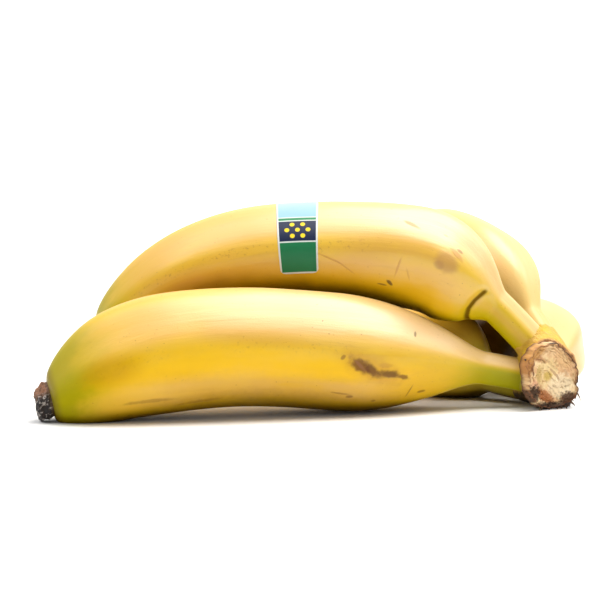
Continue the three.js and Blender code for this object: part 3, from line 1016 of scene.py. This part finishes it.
def lay_marks(s, base, fruit, straight, ragged_noise):
    """The base colour with the fruit's own bruises, scabs, specks and scratches, and with broad, soft
    patches of painted shade where a fruit lies in the shadow of the others.
    """
    covered = 0.0
    painted_shade = 0.0
    for station, angle, along, around, lean, ragged, soft, tone, strength in MARKS[fruit.name]:
        turned = math.radians(angle)
        reach = float(fruit.body_radius(station, turned) * fruit.shape(station, turned))
        middle = (station, reach * math.cos(turned), reach * math.sin(turned))
        way = Matrix.Rotation(turned, 3, "X") @ Matrix.Rotation(math.radians(lean), 3, "Y")
        local = s.mapped(straight, middle, way.to_euler(), (along / 2, MARK_DEPTH, around / 2))
        distance = s.vector("LENGTH", local)
        distance = s.math("MULTIPLY_ADD", ragged_noise, ragged, distance)
        share = s.fade(distance, 1 + soft / 2, 1 - soft / 2, 0, strength)
        base = s.blend(share, base, tone)
        if soft < SHARP_SOFTNESS:
            covered = s.math("MAXIMUM", covered, share)
        elif strength > PAINTED_SHADE_STRENGTH:
            painted_shade = s.math("MAXIMUM", painted_shade, share)
    return base, covered, painted_shade


# Rows for tints: the fields are named in peel_material, and stations are in millimetres.
PEEL_TINTS = [
    ("cfa038", ("clouds", 0.35, 0.65)),
    ("cf9e44", ("patches", 0.45, 0.66, 0, 0.6)),
    # Fuller yellow by the bands: partly the peel's own tone, partly painted bounce light on the lower
    # faces.
    ("d8aa00", ("band", 0.3, 1.0, 0, 0.9)),
    ("d4ac00", ("ridge", 0.45, 0.95), ("patches", 0.3, 0.62, 0.8, 0.5)),
    ("b98b2c", ("streaks", 0.5, 0.75, 0, 0.3)),
    ("8f6518", ("ridge", 0.86, 0.99), ("fine", 0.55, 0.68, 0, 0.45), ("clouds", 0.45, 0.6)),
    ("d0aa00", ("tip_by_clouds", 24, -8, 0, 0.85)),
    ("989000", ("tip_by_patches", 13, -7, 0, 0.95)),
    ("6b5c1c", ("from_tip", 3.2, 0.2, 0, 0.7)),
    ("ceae00", ("station_by_clouds", 62, 40, 0, 0.8), ("neck_green", 0.1, 0.6, 0.3, 1)),
    ("a09a00", ("station_by_patches", 46, 28), ("neck_green",)),
    # Painted highlight: paler, creamier peel where the light is strongest.
    ("d7b78a", ("pale",), ("from_tip", 20, 85, 0.1, 0.65)),
    ("a4752a", ("fine", 0.68, 0.74, 0, 0.5)),
    ("6e4a16", ("specks", 0.73, 0.77, 0, 0.7)),
]
# Fields whose edges a noise frays: the noise, by how much, and the field under it.
PEEL_FRAYED = {
    "tip_by_clouds": ("clouds", -26.0, "from_tip"),
    "tip_by_patches": ("patches", -22.0, "from_tip"),
    "station_by_clouds": ("clouds", 24.0, "station"),
    "station_by_patches": ("patches", 16.0, "station"),
    "ragged_cut": ("fine", -4.0, "from_cut"),
}
# Darker rows laid over the marks: dark brown in folds, brown by the cut, and painted shade where the
# hand and floor shelter the peel.
PEEL_BROWNS_AND_PAINTED_SHADE = [
    ("5c3f0c", ("fold", 0.25, 0.9, 0, 0.9)),
    ("9a6434", ("ragged_cut", 5.0, 1.0, 0, 0.8)),
    # Painted shade, darkest where fruits touch.
    ("5a4203", ("shelter", 0.25, 0.9, 0, 0.85)),
    ("2c1b02", ("shelter", 0.85, 1.05, 0, 0.8)),
]
PEEL_GLOSS = [
    ("shelter", 0.15, 0.6, 1.0, 0.1),
    ("band", 0.2, 1.0, 0.55, 0.16),
    ("station", 100, 50, 1.0, 1.5),
    ("station", 34, 22, 1.0, 0.4),
    ("from_tip", 34, 8, 1.0, 0.15),
    ("bare",),
]


def peel_material(fruit):
    """Waxy peel: tan and yellow bands, green at both ends, with painted shade in the shelter of the hand
    and paler painted highlights.
    """
    s = Shade(fruit.name + "_peel")
    straight = s.attribute("straight", "Vector")
    keys = ("ridge", "from_tip", "from_cut", "shelter", "neck_green", "pale", "fold")
    f = {key: s.attribute(key) for key in keys}
    f["station"] = s.vector("DOT_PRODUCT", straight, (1, 0, 0))
    f["clouds"] = s.noise(straight, 0.05, 3, 0.55, (0.45, 1, 1))
    f["patches"] = s.noise(s.vector("ADD", straight, (40, 11, 7)), 0.09, 3, 0.6, (0.4, 1, 1))
    f["streaks"] = s.noise(straight, 0.35, 4, 0.6, (0.08, 1, 1))
    f["fine"] = s.noise(straight, 0.9, 3, 0.6)
    f["specks"] = s.noise(s.vector("ADD", straight, (9, 3, 5)), 1.3, 2, 0.5, (0.7, 1, 1))
    pores = s.noise(straight, 3.2, 2, 0.5, (0.6, 1, 1))
    ragged = s.noise(straight, 0.42, 3, 0.55)

    band = s.math("MULTIPLY_ADD", s.math("SUBTRACT", f["patches"], 0.5), 1.2, s.attribute("band"))
    near_neck = s.product(f, [("neck_green",), ("station", 85, 45)])
    f["band"] = s.math("MAXIMUM", band, near_neck)
    for key, (by, amount, under) in PEEL_FRAYED.items():
        f[key] = s.math("MULTIPLY_ADD", f[by], amount, f[under])

    base = s.tints("d6a82c", f, PEEL_TINTS)
    ragged = s.math("SUBTRACT", ragged, 0.5)
    base, covered, painted_shade = lay_marks(s, base, fruit, straight, ragged)
    base = s.tints(base, f, PEEL_BROWNS_AND_PAINTED_SHADE)

    fold = s.fade(f["fold"], 0.25, 0.9)
    f["bare"] = s.math("SUBTRACT", 1.0, s.math("MAXIMUM", painted_shade, fold))
    roughness = s.math("MULTIPLY_ADD", covered, 0.3, s.fade(f["clouds"], 0.3, 0.7, 0.3, 0.4))
    normal = s.bumps((pores, 0.00005, 0.5), (f["streaks"], 0.0003, 0.5), (covered, 0.0002, 0.6))
    return s.finish(base, roughness, normal, s.product(f, PEEL_GLOSS), ior=1.5)


LUMP_TINTS = [
    ("bf9530", ("broad", 0.35, 0.65)),
    ("8b8c00", ("up", 7, -2), ("across", 0, -7), ("broad", 0.3, 0.6, 0.6, 1.0)),
    ("a8703c", ("depth", -3.4, 0.6, 0, 0.9)),
    ("6a4024", ("depth", -1.4, 1.2, 0, 0.9)),
    ("7a5020", ("creases", 0.56, 0.7), ("depth", -5.0, 0.0, 0.1, 0.6)),
    ("2a1a0e", ("low", -7.5, -10.5, 0, 0.95)),
    # Painted shade where the hand shelters the lump.
    ("3a2806", ("shelter", 0.35, 0.85, 0, 0.85)),
]


def lump_material():
    """Skin of the crown: like the necks, but drying to brown towards the cut, darker towards the floor,
    and with painted shade in the shelter of the hand.
    """
    s = Shade("crown_lump")
    local = s.attribute("local", "Vector")
    front = s.vector("DOT_PRODUCT", local, (0, 1, 0))
    fine = s.noise(local, 0.8, 4, 0.65)
    f = {
        "shelter": s.attribute("shelter"),
        "across": s.vector("DOT_PRODUCT", local, (1, 0, 0)),
        "up": s.vector("DOT_PRODUCT", local, (0, 0, 1)),
        "broad": s.noise(local, 0.16, 3, 0.6),
        "creases": s.noise(local, 1.4, 3, 0.6, (1, 0.25, 1)),
        "depth": s.math("MULTIPLY_ADD", fine, 5.0, front),
    }
    f["low"] = s.math("MULTIPLY_ADD", fine, -4.0, f["up"])
    base = s.tints("c9a31c", f, LUMP_TINTS)
    normal = s.bumps((f["creases"], 0.0006, 0.7), (fine, 0.0003, 0.6))
    return s.finish(base, s.fade(fine, 0.3, 0.7, 0.45, 0.7), normal, ior=1.45)


# Patches of the cut: place across and up, sizes across and up, lean, colour and strength.
CUT_PATCHES = [
    (-1.5, 1.0, 8.5, 10, 30, "e6cc94", 0.8),
    (4.0, -3.6, 10.5, 8.0, 0, "f0dcb6", 0.9),
    (5.5, 5.5, 4.6, 8.0, -38, "d8b27c", 0.5),
    (0.6, 8.2, 7.0, 3.4, -18, "dcba8c", 0.6),
    (-1.2, -0.2, 3.4, 3.0, 0, "c9aa4c", 0.75),
    (-4.8, 0.6, 2.4, 6.0, 0, "b9964a", 0.6),
    (-3.8, 5.2, 6.0, 1.8, 14, "a87444", 0.55),
    (1.6, 0.4, 7.0, 1.0, 42, "9a6c44", 0.6),
    (-2.6, -6.6, 11.0, 3.2, 30, "a55c22", 0.85),
    (-6.9, -2.8, 3.4, 3.4, 20, "dca482", 0.7),
    (-7.6, 3.6, 1.1, 7.5, 0, "6a3820", 0.85),
    (-9.4, 4.2, 3.6, 8.5, 0, "b47c40", 0.85),
    (-6.4, 8.0, 9.0, 4.2, -32, "c08c46", 0.8),
    (8.0, -8.2, 8.0, 4.6, 20, "4a2c18", 0.95),
    (-8.6, -7.4, 6.6, 10.0, 38, "33200f", 0.95),
    (-1.0, -11.0, 19, 4.2, 0, "2c1a0f", 0.95),
    # Painted highlight: a thin pale line along the bottom edge of the cut.
    (4.0, -10.4, 7.5, 0.8, -6, "8a7462", 0.7),
]
CUT_PATCH_DEPTH = 50
CUT_TINTS = [
    ("8a5638", ("ring", 0.86, 0.96), ("layers", -0.4, 0.8, 0.15, 0.7)),
    ("9a6a48", ("cracks", 0.5, 1.0, 0, 0.4)),
    ("8c6040", ("tiny", 0.64, 0.76, 0, 0.3)),
    ("38251a", ("lip", 0.3, 0.8, 0, 0.95)),
    ("4a2e1a", ("share", 0.975, 1.0, 0, 0.85)),
]


def cut_material():
    """Torn, drying flesh: cream in the middle, with pink and brown rings towards the edge."""
    s = Shade("crown_cut")
    f = {key: s.attribute(key) for key in ("share", "streaks", "cracks", "lip")}
    flat = s.vector("MULTIPLY", s.attribute("local", "Vector"), (1, 0, 1))
    f["broad"] = s.noise(flat, 0.22, 3, 0.6)
    f["tiny"] = s.noise(flat, 2.6, 3, 0.6)
    fine = s.noise(flat, 0.9, 4, 0.65)
    wander = s.math("SUBTRACT", fine, 0.5)
    base = s.blend(s.fade(f["streaks"], -0.35, 0.35), "dfb684", "eacd9c")
    base = s.blend(s.fade(f["broad"], 0.45, 0.65, 0, 0.5), base, "d2a278")
    for x, z, wide, tall, lean, tone, strength in CUT_PATCHES:
        turn = (0, math.radians(lean), 0)
        size = (wide / 2, CUT_PATCH_DEPTH, tall / 2)
        patch = s.vector("LENGTH", s.mapped(flat, (x, 0, z), turn, size))
        patch = s.math("MULTIPLY_ADD", wander, 1.6, patch)
        base = s.blend(s.fade(patch, 1.3, 0.7, 0, strength), base, tone)
    f["ring"] = s.math("MULTIPLY_ADD", wander, 0.12, f["share"])
    f["layers"] = s.math("SINE", s.math("MULTIPLY", f["ring"], 95.0))
    base = s.tints(base, f, CUT_TINTS)
    normal = s.bumps((f["tiny"], 0.0003, 0.6), (fine, 0.0005, 0.6))
    return s.finish(base, 0.62, normal, ior=1.4)


def frays_material():
    """Dry brown fibre."""
    s = Shade("crown_frays")
    strands = s.noise(s.attribute("local", "Vector"), 2.2, 3, 0.6)
    base = s.blend(s.fade(strands, 0.35, 0.68), "2a1a10", "6a4a30")
    return s.finish(base, 0.8, s.bumps((strands, 0.0002, 0.6)))


BLOSSOM_TAN_TINTS = [
    ("805438", ("swirl", 0.4, 0.6)),
    ("4a2a1c", ("swirl", 0.5, 0.42, 0, 0.85)),
]
BLOSSOM_TINTS = [
    ("2a1b13", ("fine", 0.35, 0.65)),
    ("b3a9a0", ("scales", 0.53, 0.63, 0, 0.85)),
    ("tan", ("top", 3.4, 5.2, 0, 0.95)),
    ("120a06", ("scales", 0.36, 0.28, 0, 0.8)),
    ("a39a90", ("rough", 0.55, 1.0, 0, 0.3)),
    ("5e4524", ("collar", 0.3, -0.6, 0, 0.8)),
]


def blossom_material(name):
    """Black, dry stumps with pale, scaly flecks, and a tan side where the peel ends."""
    s = Shade(name)
    local = s.attribute("local", "Vector")
    across = s.vector("DOT_PRODUCT", local, (1, 0, 0))
    height = s.vector("DOT_PRODUCT", local, (0, 0, 1))
    fine = s.noise(local, 0.7, 4, 0.65)
    f = {
        "rough": s.attribute("rough"),
        "fine": fine,
        "scales": s.noise(local, 0.75, 4, 0.65, (1, 1, 0.7), 0.6),
        "swirl": s.noise(s.vector("ADD", local, (5, 2, 8)), 0.55, 3, 0.6, (1, 1, 1), 1.2),
        "top": s.math("MULTIPLY_ADD", fine, 3.0, across),
        "collar": s.math("MULTIPLY_ADD", fine, -1.2, height),
    }
    f["tan"] = s.tints("a97a58", f, BLOSSOM_TAN_TINTS)
    base = s.tints("0c0806", f, BLOSSOM_TINTS)
    normal = s.bumps((f["scales"], 0.0008, 0.9))
    return s.finish(base, s.fade(fine, 0.3, 0.7, 0.55, 0.85), normal)


# Places on the label run from -1 to 1, across it and down it.
LABEL_DOTS = [
    (-0.52, 0.02), (0.0, 0.02), (0.52, 0.02), (-0.26, -0.13), (0.26, -0.13), (-0.26, 0.17), (0.26, 0.17),
]
LABEL_HALF_LENGTH = 14.8
LABEL_BANDS = [
    ("86aebd", ("down", -1.0, -0.4)),
    ("c2c8c4", ("down", -0.365, -0.355)),
    ("1f7a4a", ("down", -0.335, -0.325)),
    ("c2c8c4", ("down", -0.265, -0.255)),
    ("101c3a", ("down", -0.235, -0.225)),
    ("c2c8c4", ("down", 0.285, 0.295)),
    ("1b6b42", ("down", 0.315, 0.325)),
]
LABEL_BORDER = [("c6cac8", ("from_middle", 0.9, 0.92)), ("c6cac8", ("from_centre", 0.955, 0.965))]


def label_material():
    """Plain printed bands of pale blue, white, green and navy, with a few yellow dots."""
    s = Shade("label_paper")
    u = s.attribute("u")
    v = s.attribute("v")
    base = s.tints("9fb6be", {"down": v}, LABEL_BANDS)
    for middle_u, middle_v in LABEL_DOTS:
        du = s.math("MULTIPLY", s.math("SUBTRACT", u, middle_u), LABEL_WIDTH / 2)
        dv = s.math("MULTIPLY", s.math("SUBTRACT", v, middle_v), LABEL_HALF_LENGTH)
        squared = s.math("ADD", s.math("MULTIPLY", du, du), s.math("MULTIPLY", dv, dv))
        base = s.blend(s.fade(s.math("SQRT", squared), 0.85, 0.7), base, "d9c020")
    f = {"from_middle": s.math("ABSOLUTE", u), "from_centre": s.math("ABSOLUTE", v)}
    return s.finish(s.tints(base, f, LABEL_BORDER), 0.4, gloss=0.25, ior=1.45)


# ---- the pieces


def dress(thing, material, slot, *nodes):
    thing.data.materials.append(material)
    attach(thing, "root")
    if nodes:
        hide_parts(*nodes)


hand_tree = skin_tree([rest_on_floor(skin_grid(fruit)[2][::3, ::3]) for fruit in fruits.values()])
for fruit in fruits.values():
    dress(build_fruit(fruit, hand_tree), peel_material(fruit), "peel", fruit.name)
    dried = build_blossom(fruit)
    dress(dried, blossom_material(dried.name), "blossom", fruit.name.replace("banana", "blossom_end"))

dress(build_crown(hand_tree), lump_material(), "crown", "crown")
dress(build_cut(), cut_material(), "crown")
dress(build_frays(), frays_material(), "crown")
dress(build_label(), label_material(), "label", "label")

# ---- floor, light and camera
# Sizes from here on are in metres.

FLOOR_HALF = 6.0
FLOOR_GREY = 0.82
FLOOR_GLOW_FROM = 0.25
FLOOR_GLOW_FULL = 0.9
WORLD_LOW = 0.44
WORLD_HIGH = 0.58
WORLD_BEHIND = 0.85
WORLD_SEEN = 1.2
# Each light has its place, its target, its width, its watts and its colour.
LIGHTS = {
    "overhead": ((0.24, 0.02, 0.74), (0.08, 0, 0.03), 0.68, 9.5, (1, 0.965, 0.92)),
    "right": ((0.68, 0.25, 0.62), (0.06, 0, 0.03), 0.6, 2.5, (1, 1, 1)),
    "left": ((-0.42, -0.12, 0.66), (-0.03, 0, 0.03), 0.6, 3, (1, 1, 1)),
}
CAMERA_TARGET = Vector((-0.0082, -0.0635, 0.0364))
CAMERA_ELEVATION = math.radians(5)
CAMERA_DISTANCE = 0.7
SENSOR_WIDTH = 36  # millimetres
FOCAL_PIXELS = 2121.2
PICTURE_PIXELS = 600


def build_floor():
    """A pale grey floor that whitens, by a glow of its own, away from the hand."""
    signs = ((-1, -1), (1, -1), (1, 1), (-1, 1))
    corners = [(x * FLOOR_HALF, y * FLOOR_HALF, 0) for x, y in signs]
    floor = mesh_object("floor", corners, [(0, 1, 2, 3)], smooth=False)
    s = Shade("floor")
    out = s.vector("LENGTH", s.node("TexCoord", "Object"))
    s.plug(s.fade(out, FLOOR_GLOW_FROM, FLOOR_GLOW_FULL), s.shader.inputs["Emission Strength"])
    s.shader.inputs["Emission Color"].default_value = (1, 1, 1, 1)
    floor.data.materials.append(s.finish((FLOOR_GREY, FLOOR_GREY, FLOOR_GREY, 1), 0.9))


def build_world():
    """A pale studio: dim at the horizon, brighter overhead and behind the hand, seen as white."""
    world = bpy.data.worlds.new("studio")
    bpy.context.scene.world = world
    world.use_nodes = True
    n = Nodes(world.node_tree)
    split = n.tree.nodes.new("ShaderNodeSeparateXYZ")
    n.plug(n.node("TexCoord", "Generated"), split.inputs[0])
    height = n.fade(split.outputs["Z"], 0.0, 0.8, WORLD_LOW, WORLD_HIGH)
    behind = n.fade(split.outputs["Y"], 0.15, 0.85, 0.0, WORLD_BEHIND)
    fill = n.node("Background", 0, {"Strength": n.math("ADD", height, behind)})
    seen = n.node("Background", 0, {"Color": (1, 1, 1, 1), "Strength": WORLD_SEEN})
    by_camera = n.node("LightPath", "Is Camera Ray")
    output = n.tree.nodes.new("ShaderNodeOutputWorld")
    n.plug(n.node("MixShader", 0, {0: by_camera, 1: fill, 2: seen}), output.inputs[0])


def aim(name, data, place, target):
    """A new light or camera at a place, which looks at a target."""
    thing = bpy.data.objects.new(name, data)
    bpy.context.scene.collection.objects.link(thing)
    thing.location = place
    thing.rotation_euler = (Vector(target) - Vector(place)).to_track_quat("-Z", "Y").to_euler()
    return thing


def area_light(name, place, target, width, watts, tone):
    data = bpy.data.lights.new(name, "AREA")
    data.shape = "DISK"
    data.size = width
    data.energy = watts
    data.color = tone
    aim(name, data, place, target)


def build_camera():
    data = bpy.data.cameras.new("camera")
    data.sensor_width = SENSOR_WIDTH
    data.lens = SENSOR_WIDTH * FOCAL_PIXELS / PICTURE_PIXELS
    back = Vector((0, -math.cos(CAMERA_ELEVATION), math.sin(CAMERA_ELEVATION)))
    place = CAMERA_TARGET + CAMERA_DISTANCE * back
    bpy.context.scene.camera = aim("camera", data, place, CAMERA_TARGET)


build_floor()
build_world()
for name, setting in LIGHTS.items():
    area_light(name, *setting)
build_camera()
bpy.context.scene.view_settings.view_transform = "Standard"
